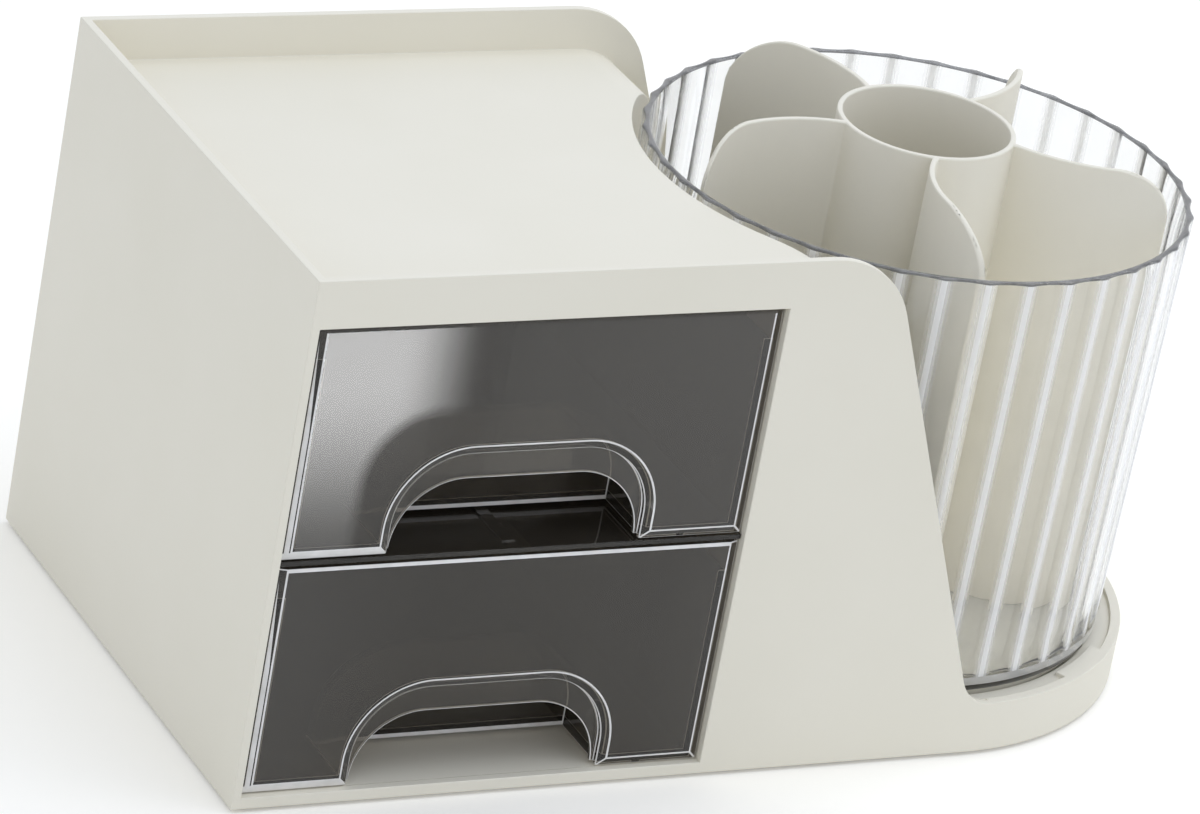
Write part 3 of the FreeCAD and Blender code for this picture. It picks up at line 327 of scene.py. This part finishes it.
# Pieces
def piece(name, mesh, body, slot, node):
    """A finished mesh as a piece that rides on a body and stands for a CAD node."""
    made = bpy.data.objects.new(name, mesh)
    bpy.context.scene.collection.objects.link(made)
    for material in [MATERIALS[slot]] + EDGES.get(slot, []):
        mesh.materials.append(material)
    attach(made, body)
    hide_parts(node)


WELD = 0.02 * MM
FLAT, SHARP, CREASE = (math.radians(angle) for angle in (0.3, 15, 32))


def rounded_mesh(
    node, radius, keep=lambda at: True, pale=lambda at, rounded: False, cuts=()
):
    """The node's mesh with its edges rounded where keep() wants it and its faces cut at
    some planes; faces for which pale() is true take the slot's edge material, a painted
    highlight."""
    work = bmesh.new()
    work.from_mesh(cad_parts[node].data)
    bmesh.ops.remove_doubles(work, verts=work.verts, dist=WELD)
    bmesh.ops.dissolve_limit(
        work, angle_limit=FLAT, verts=work.verts, edges=work.edges
    )
    sharp = [
        edge
        for edge in work.edges
        if edge.is_manifold
        and edge.calc_face_angle() > SHARP
        and keep((edge.verts[0].co + edge.verts[1].co) / 2)
    ]
    rounding = bmesh.ops.bevel(
        work, geom=sharp, offset=radius, segments=2, profile=0.5, affect="EDGES",
        clamp_overlap=False, loop_slide=False,
    )
    for face in rounding["faces"]:
        face.material_index = 1
    for point, across in cuts:
        bmesh.ops.bisect_plane(
            work, geom=work.verts[:] + work.edges[:] + work.faces[:], dist=1e-7,
            plane_co=Vector(point) * MM, plane_no=across,
        )
    # Cuts leave the faces in a random order; sorted, the result is the same each run
    work.verts.index_update()
    count = len(work.verts)
    work.faces.sort(key=lambda face: face.verts[0].index * count + face.verts[1].index)
    # Index 1 is the slot's edge material, whose paleness paints highlights
    for face in work.faces:
        at = face.calc_center_median() / MM
        face.material_index = int(pale(at, face.material_index == 1))
    mesh = bpy.data.meshes.new(node + "_rounded")
    work.to_mesh(mesh)
    work.free()
    mesh.shade_smooth()
    mesh.set_sharp_from_angle(angle=CREASE)
    holder = bpy.data.objects.new(node + "_work", mesh)
    bpy.context.scene.collection.objects.link(holder)
    weigh = holder.modifiers.new("weigh", "WEIGHTED_NORMAL")
    weigh.keep_sharp = True
    weigh.weight = 80
    done = bpy.data.meshes.new_from_object(
        holder.evaluated_get(bpy.context.evaluated_depsgraph_get())
    )
    bpy.data.objects.remove(holder)
    return done


def ring_mesh(name, radius, height, finish):
    """A closed ring from tables of radii and heights: one row for each point of the
    profile, one column for each direction round the cup axis."""
    rows, columns = radius.shape
    turn = np.linspace(0, math.tau, columns, endpoint=False)
    points = np.stack([radius * np.cos(turn), radius * np.sin(turn), height], -1) * MM
    points += np.array(AXIS)
    row, column = np.meshgrid(np.arange(rows), np.arange(columns))
    beside, above = (column + 1) % columns, (row + 1) % rows
    faces = np.stack(
        [row * columns + column, row * columns + beside,
         above * columns + beside, above * columns + column], -1
    ).reshape(-1, 4)
    mesh = bpy.data.meshes.new(name)
    mesh.from_pydata(points.reshape(-1, 3).tolist(), [], faces.tolist())
    mesh.shade_smooth()
    for face in mesh.polygons:
        face.material_index = finish(face.center)
    return mesh


# The cup: clear, with forty flutes, a round rim and a round corner inside its floor
FOOT_Z, FLOOR_Z, RIM_Z = 14.8, 17.3, 129.3
FOOT_RADIUS, RIM_RADIUS, HOLE_RADIUS, WALL = 68.7, 70.6, 9.0, 2.2
FLUTES, FLUTE_RADIUS, FLUTE_DEPTH, FLUTE_Z = 40, 23.0, 0.8, 24.8
STEPS_PER_FLUTE = 14
RIDGE_SOFTNESS, RIM_ROUND, FOOT_ROUND, CORNER_ROUND = 0.22, 0.6, 0.9, 2.2
WALL_HEIGHTS = (
    16.6, 17.8, 18.8, 19.6, 20.4, 21.3, 22.4, 23.6, 24.8, 26.5,
    30, 45, 60, 80, 100, 118, 126,
)
# The indices of its edge materials, and how far up or down some of them reach: painted
# shade at the rim and foot, painted highlights on the ridges and above the foot, and a
# floor painted paler and warmer
RIM, RIDGE, SHOULDER, FLOOR, FOOT = 1, 2, 3, 5, 6
RIM_BAND, FLOOR_BAND, FOOT_BAND, SHOULDER_BAND = 0.55, 1, 1.9, 4.2
RIDGE_STEPS = 3


def cup_mesh():
    columns = FLUTES * STEPS_PER_FLUTE
    turn = np.linspace(0, math.tau, columns, endpoint=False)
    half_pitch = math.pi / FLUTES
    off = (turn + half_pitch) % (2 * half_pitch) - half_pitch
    widening = (RIM_RADIUS - FOOT_RADIUS) / (RIM_Z - FOOT_Z)
    centre = FOOT_RADIUS + widening * (FLUTE_Z - FOOT_Z) - FLUTE_DEPTH + FLUTE_RADIUS

    def outside(z):
        """Radii of the fluted wall; a flute runs out in a round end above the foot."""
        cone = FOOT_RADIUS + widening * (z - FOOT_Z)
        if z >= FLUTE_Z:
            hollow = FLUTE_RADIUS - widening * (z - FLUTE_Z)
        else:
            hollow = math.sqrt(FLUTE_RADIUS ** 2 - (FLUTE_Z - z) ** 2)
        reach = hollow ** 2 - (centre * np.sin(off)) ** 2
        flute = centre * np.cos(off) - np.sqrt(np.maximum(reach, 0))
        flute = np.where(reach > 0, flute, cone + 1)
        near = np.clip(0.5 + (cone - flute) / (2 * RIDGE_SOFTNESS), 0, 1)
        soft = RIDGE_SOFTNESS * near * (1 - near)
        return cone * (1 - near) + flute * near - soft

    def inside(z):
        return FOOT_RADIUS - WALL + widening * (z - FLOOR_Z)

    def finish(middle):
        """The edge material of a face (painted highlights on ridges, painted shade at
        rim and foot), or 0 for the plain wall.
        """
        reach = (middle - AXIS) / MM
        radius, z = reach.xy.length, reach.z
        if z > RIM_Z - RIM_BAND:
            return RIM
        if radius < inside(z) + 0.3:
            return FLOOR if z < FLOOR_Z + FLOOR_BAND else 0
        if z < FOOT_Z + FOOT_BAND:
            return FOOT
        if z < FOOT_Z + SHOULDER_BAND:
            return SHOULDER
        around = (math.atan2(reach.y, reach.x) + half_pitch) % (2 * half_pitch)
        side = min(around, 2 * half_pitch - around) / half_pitch
        step = int(STEPS_PER_FLUTE // 2 * side)
        return RIDGE + step if step < RIDGE_STEPS else 0

    radii, heights = [], []

    def point(radius, z):
        radii.append(radius * np.ones(columns))
        heights.append(z * np.ones(columns))

    for radius in (HOLE_RADIUS, 9.6, 30.0, 50.0, 66.6):
        point(radius, FOOT_Z)
    for angle in np.linspace(0, math.pi / 2, 5):
        point(
            FOOT_RADIUS - FOOT_ROUND + FOOT_ROUND * math.sin(angle),
            FOOT_Z + FOOT_ROUND - FOOT_ROUND * math.cos(angle),
        )
    for z in WALL_HEIGHTS:
        point(outside(z), z)
    for angle in np.linspace(0, math.pi / 2, 6):
        z = RIM_Z - RIM_ROUND + RIM_ROUND * math.sin(angle)
        point(outside(z) - RIM_ROUND + RIM_ROUND * math.cos(angle), z)
    for angle in np.linspace(math.pi / 2, 0, 6):
        z = RIM_Z - RIM_ROUND + RIM_ROUND * math.sin(angle)
        point(inside(z) + RIM_ROUND - RIM_ROUND * math.cos(angle), z)
    for z in (120, 90, 60, 35, 21):
        point(inside(z), z)
    for angle in np.linspace(0, math.pi / 2, 7):
        point(
            inside(FLOOR_Z) - CORNER_ROUND + CORNER_ROUND * math.cos(angle),
            FLOOR_Z + CORNER_ROUND - CORNER_ROUND * math.sin(angle),
        )
    for radius in (50.0, 30.0, 9.5):
        point(radius, FLOOR_Z)
    point(HOLE_RADIUS, FLOOR_Z - 0.5)
    return ring_mesh("cup_wall", np.array(radii), np.array(heights), finish)


piece("cup_wall", cup_mesh(), "carousel", "clear_plastic", "fluted_cup")


# The moulded parts with their edges rounded as a mould leaves them (sizes in mm)
FRONT, LEFT, RIGHT = -73.8, -134.7, -12.5
LOWER_BOTTOM, LOWER_TOP, UPPER_BOTTOM, UPPER_TOP = 4.3, 64.75, 66.95, 127.4
BEVEL_DEPTH = 0.9
# Painted highlight bands at the foot and top of a drawer front, and a painted highlight
# line up the left bevel
STRIP_FOOT, STRIP_TOP = 1.9, 0.9
LINE_FROM, LINE_TO = LEFT + 0.7, LEFT + 1.8
PULL_LEFT, PULL_RIGHT, PULL_BACK = -108, -39, -53.8
AHEAD, ASIDE, UP = (0, -1, 0), (1, 0, 0), (0, 0, 1)
# Past these lie the front and back faces, the left side, the foot edge and the ledge
NEAR_FACE, NEAR_SIDE, NEAR_FOOT, NEAR_LEDGE, WELL_RADIUS = 74.5, -137, 5, 16, 66.9


def shows(middle):
    """False in the underside and the well under the turntable, which stay as cut."""
    x, y, z = middle / MM
    reach = (middle - AXIS).xy.length / MM
    round_face = middle.x > AXIS.x and reach > NEAR_FACE
    outer = abs(y) > NEAR_FACE or x < NEAR_SIDE or round_face
    return outer or z > NEAR_LEDGE or (z > NEAR_FOOT and reach > WELL_RADIUS)


def drawer_mesh(level, bottom, top):
    """A drawer with painted highlights on its front edges: they take the paler edge
    material.
    """
    tip = Vector((LINE_FROM, 0, top - 3))
    taper = Vector((24, 0, LINE_TO - LINE_FROM))

    def paints_highlight(at, rounded):
        """Painted highlights: the rounded edges in front, the lower drawer's top edge,
        the foot of the pull, and a line along the left foot and up the left bevel that
        tapers off."""
        if at.y > -50 or (level == "upper" and at.z > top - 1):
            return False
        on_bevel = FRONT + 0.05 < at.y < FRONT + BEVEL_DEPTH - 0.05
        on_pull = abs(at.y - PULL_BACK) < 0.1 and PULL_LEFT < at.x < PULL_RIGHT
        return (
            rounded
            or (at.z > top - STRIP_TOP and at.y < FRONT + 0.1)
            or (on_pull and at.z < bottom + STRIP_FOOT)
            or (on_bevel and at.x < PULL_LEFT - 0.6 and at.z < bottom + 2.2)
            or (on_bevel and LINE_FROM < at.x < LINE_TO and (at - tip).dot(taper) < 0)
        )

    levels = [((0, 0, z), UP) for z in (bottom + STRIP_FOOT, top - STRIP_TOP)]
    line = [((x, 0, 0), ASIDE) for x in (LINE_FROM, LINE_TO)]
    return rounded_mesh(
        f"{level}_drawer", 0.25 * MM, pale=paints_highlight,
        cuts=levels + line + [(tip, taper)],
    )


piece(
    "housing_moulding", rounded_mesh("housing_shell", 0.3 * MM, shows),
    "housing", "cream_plastic", "housing_shell",
)
piece(
    "shelf", rounded_mesh("mid_shelf", 0.2 * MM),
    "housing", "smoky_plastic", "mid_shelf",
)
for level, bottom, top in (
    ("lower", LOWER_BOTTOM, LOWER_TOP), ("upper", UPPER_BOTTOM, UPPER_TOP)
):
    piece(
        f"{level}_drawer_moulding", drawer_mesh(level, bottom, top),
        f"{level}_drawer", "smoky_plastic", f"{level}_drawer",
    )
piece(
    "petals_and_tube",
    rounded_mesh("petal_divider", 0.45 * MM, lambda middle: middle.z > 20 * MM),
    "divider", "cream_plastic", "petal_divider",
)

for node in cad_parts.values():
    slot = finish_of(node)
    node.data.materials.clear()
    node.data.materials.append(MATERIALS[slot])


# Camera at the photograph's angle
AIM = Vector((-13.2208, 3.3540, 62.4371)) * MM
DISTANCE = 1.73185
azimuth, elevation, roll = (math.radians(a) for a in (-30.03, 24.834, 10.678))
ahead = Vector((
    -math.sin(azimuth) * math.cos(elevation),
    math.cos(azimuth) * math.cos(elevation),
    -math.sin(elevation),
))
right = ahead.cross(Vector(UP)).normalized()
up = right.cross(ahead)
right, up = (
    right * math.cos(roll) + up * math.sin(roll),
    up * math.cos(roll) - right * math.sin(roll),
)
camera = bpy.data.objects.new("camera", bpy.data.cameras.new("camera"))
bpy.context.scene.collection.objects.link(camera)
camera.data.sensor_width = 36
camera.data.lens = 207.222
camera.data.clip_end = 50
turned = Matrix((right, up, -ahead)).transposed().to_4x4()
camera.matrix_world = Matrix.Translation(AIM - ahead * DISTANCE) @ turned
bpy.context.scene.camera = camera
bpy.context.scene.view_settings.view_transform = "Standard"


# Floor, world and lamp
def seen_ray(n):
    """One for rays that show the background: straight, mirrored or through plastic."""
    path = n.add("LightPath")
    bent = n.join(
        "MAXIMUM", path.outputs["Is Glossy Ray"], path.outputs["Is Transmission Ray"]
    )
    return n.join("MAXIMUM", path.outputs["Is Camera Ray"], bent)


def both(n, first, second):
    """The sum of two shaders."""
    node = n.add("AddShader")
    n.tree.links.new(first.outputs[0], node.inputs[0])
    n.tree.links.new(second.outputs[0], node.inputs[1])
    return node.outputs[0]


def floor_material():
    """White, and seen as bright as the background; it keeps the object's shadow."""
    n = Nodes("studio_floor")
    mottle = n.noise(3, detail=2)
    diffuse = n.add(
        "BsdfDiffuse", Color=n.colours(mottle, linear("F2F0E9"), linear("F5F3EC"))
    )
    strength = n.join("MULTIPLY", seen_ray(n), 0.2)
    glow = n.add("Emission", Color=(1, 0.98, 0.93, 1), Strength=strength)
    material = n.surface(both(n, diffuse, glow))
    material.cycles.emission_sampling = "NONE"
    return material


FLOOR_REACH = 8
FLOOR_CORNERS = ((-1, -1), (1, -1), (1, 1), (-1, 1))
floor_mesh = bpy.data.meshes.new("floor")
floor_mesh.from_pydata(
    [(x * FLOOR_REACH, y * FLOOR_REACH, 0) for x, y in FLOOR_CORNERS],
    [], [(0, 1, 2, 3)],
)
floor = bpy.data.objects.new("floor", floor_mesh)
bpy.context.scene.collection.objects.link(floor)
floor_mesh.materials.append(floor_material())


def sky():
    """A pale, slightly cool room, dimmer overhead, that itself looks plain white."""
    world = bpy.data.worlds.new("studio")
    bpy.context.scene.world = world
    world.use_nodes = True
    n = Nodes.of(world.node_tree)
    height = n.add("SeparateXYZ", Vector=n.place).outputs["Z"]
    pale = n.colours(height, (0.92, 0.96, 1.07), (0.65, 0.69, 0.78), 0.1, 0.8)
    room = n.add("Background", Color=pale)
    white = n.add("Background", Color=(1, 1, 1, 1))
    n.tree.links.new(
        n.blend(seen_ray(n), room, white).outputs[0], n.output.inputs["Surface"]
    )


def key_lamp():
    """One large soft lamp, high on the right."""
    place, target = Vector((0.6, -0.1, 1.6)), Vector((0, 0, 0.05))
    light = bpy.data.lights.new("key", "AREA")
    light.shape = "RECTANGLE"
    light.size = light.size_y = 1.4
    light.energy = 10
    light.color = (0.88, 0.92, 1.0)
    holder = bpy.data.objects.new("key", light)
    bpy.context.scene.collection.objects.link(holder)
    holder.location = place
    holder.rotation_euler = (target - place).to_track_quat("-Z", "Y").to_euler()


sky()
key_lamp()


# Light cards, which only the glossy drawer fronts mirror
def mirrored(x, z, height):
    """Where the camera's view, mirrored at a point of the drawer fronts, comes down to
    a height over the floor (mm)."""
    point = Vector((x, FRONT, z)) * MM
    ray = (point - camera.matrix_world.translation).reflect(Vector(AHEAD))
    return point + ray * ((height * MM - point.z) / ray.z)


def card(name, corners, strength, across, along, shade, receiver):
    """A glowing sheet with a brightness profile both ways; corners go round it. It
    shows on one receiver, and everything else shines through it."""
    steps = 8
    grid = [(u / steps, v / steps) for v in range(steps + 1) for u in range(steps + 1)]
    a, b, c, d = corners
    points = [
        (a * (1 - u) + b * u) * (1 - v) + (d * (1 - u) + c * u) * v for u, v in grid
    ]
    faces = [
        (n, n + 1, n + steps + 2, n + steps + 1)
        for n in range(steps * (steps + 1)) if n % (steps + 1) < steps
    ]
    mesh = bpy.data.meshes.new(name)
    mesh.from_pydata(points, [], faces)
    layer = mesh.uv_layers.new(name="across_and_along")
    for loop in mesh.loops:
        layer.data[loop.index].uv = grid[loop.vertex_index]
    n = Nodes(name)
    split = n.add("SeparateXYZ", Vector=n.coordinates.outputs["UV"])
    u, v = split.outputs["X"], split.outputs["Y"]
    level = n.join("MULTIPLY", n.profile(u, across), n.profile(v, along))
    if shade:
        level = n.join("MULTIPLY", level, shade(n, u, v))
    strength = n.join("MULTIPLY", level, strength)
    glow = n.add("Emission", Color=(1, 1, 1, 1), Strength=strength)
    mesh.materials.append(n.surface(both(n, glow, n.add("BsdfTransparent"))))
    n.material.cycles.emission_sampling = "NONE"
    holder = bpy.data.objects.new(name, mesh)
    bpy.context.scene.collection.objects.link(holder)
    for kind in ("camera", "diffuse", "transmission", "volume_scatter", "shadow"):
        setattr(holder, "visible_" + kind, False)
    chosen = bpy.data.collections.new(name + "_receivers")
    chosen.objects.link(bpy.data.objects[receiver])
    holder.light_linking.receiver_collection = chosen


def front_card(name, height, box, strength, across, along, receiver, shade=None):
    """A card that shows on one box of the drawer fronts: left, right, bottom, top. The
    cards overlap, so each has a height over the floor of its own."""
    x0, x1, z0, z1 = box
    corners = [
        mirrored(x, z, height) for x, z in ((x0, z0), (x1, z0), (x1, z1), (x0, z1))
    ]
    card(name, corners, strength, across, along, shade, receiver)


EVEN, FADE_OUT = ((0, 1), (1, 1)), ((0, 1), (1, 0))
UPPER_GLOW = (LEFT, -84, 67, 127.4)
# Corner, radius and soft edge of the hood's painted shade in the upper glow
HOOD_CORNER, HOOD_ROUND, HOOD_SOFT = (-99, 85.1), 18.5, 2


def painted_hood_shade(n, across, along):
    """Dims the upper glow where the finger pull's hood, whose round corner it follows,
    lies behind the front: a painted shade of the hood in the light card."""
    x0, x1, z0, z1 = UPPER_GLOW
    x = n.join("MULTIPLY_ADD", across, x1 - x0, x0)
    z = n.join("MULTIPLY_ADD", along, z1 - z0, z0)
    beside = n.join("MAXIMUM", n.join("SUBTRACT", HOOD_CORNER[0], x), 0)
    above = n.join("MAXIMUM", n.join("SUBTRACT", z, HOOD_CORNER[1]), 0)
    squares = n.join("MULTIPLY", beside, beside), n.join("MULTIPLY", above, above)
    reach = n.join("SQRT", n.join("ADD", *squares))
    return n.between(reach, 0.08, 1, HOOD_ROUND - HOOD_SOFT, HOOD_ROUND + HOOD_SOFT)


front_card(
    "upper_glow", 0.3, UPPER_GLOW, 12.2, ((0, 1), (0.42, 1), (0.88, 0), (1, 0)),
    ((0, 0.12), (0.77, 1), (1, 1)), "upper_drawer_moulding", painted_hood_shade,
)
front_card(
    "upper_veil", 0.32, (-102, RIGHT + 4, 67, 128), 0.8,
    ((0, 0), (0.3, 0.55), (1, 1)), ((0, 0.7), (1, 1)), "upper_drawer_moulding",
)
front_card(
    "lower_veil", 0.34, (-62, RIGHT + 4, 4, 66), 0.35,
    ((0, 0), (0.5, 0.35), (1, 1)), EVEN, "lower_drawer_moulding",
)
front_card(
    "lower_glow", 0.36, (LEFT, -88, 4, 66), 0.4,
    FADE_OUT, EVEN, "lower_drawer_moulding",
)
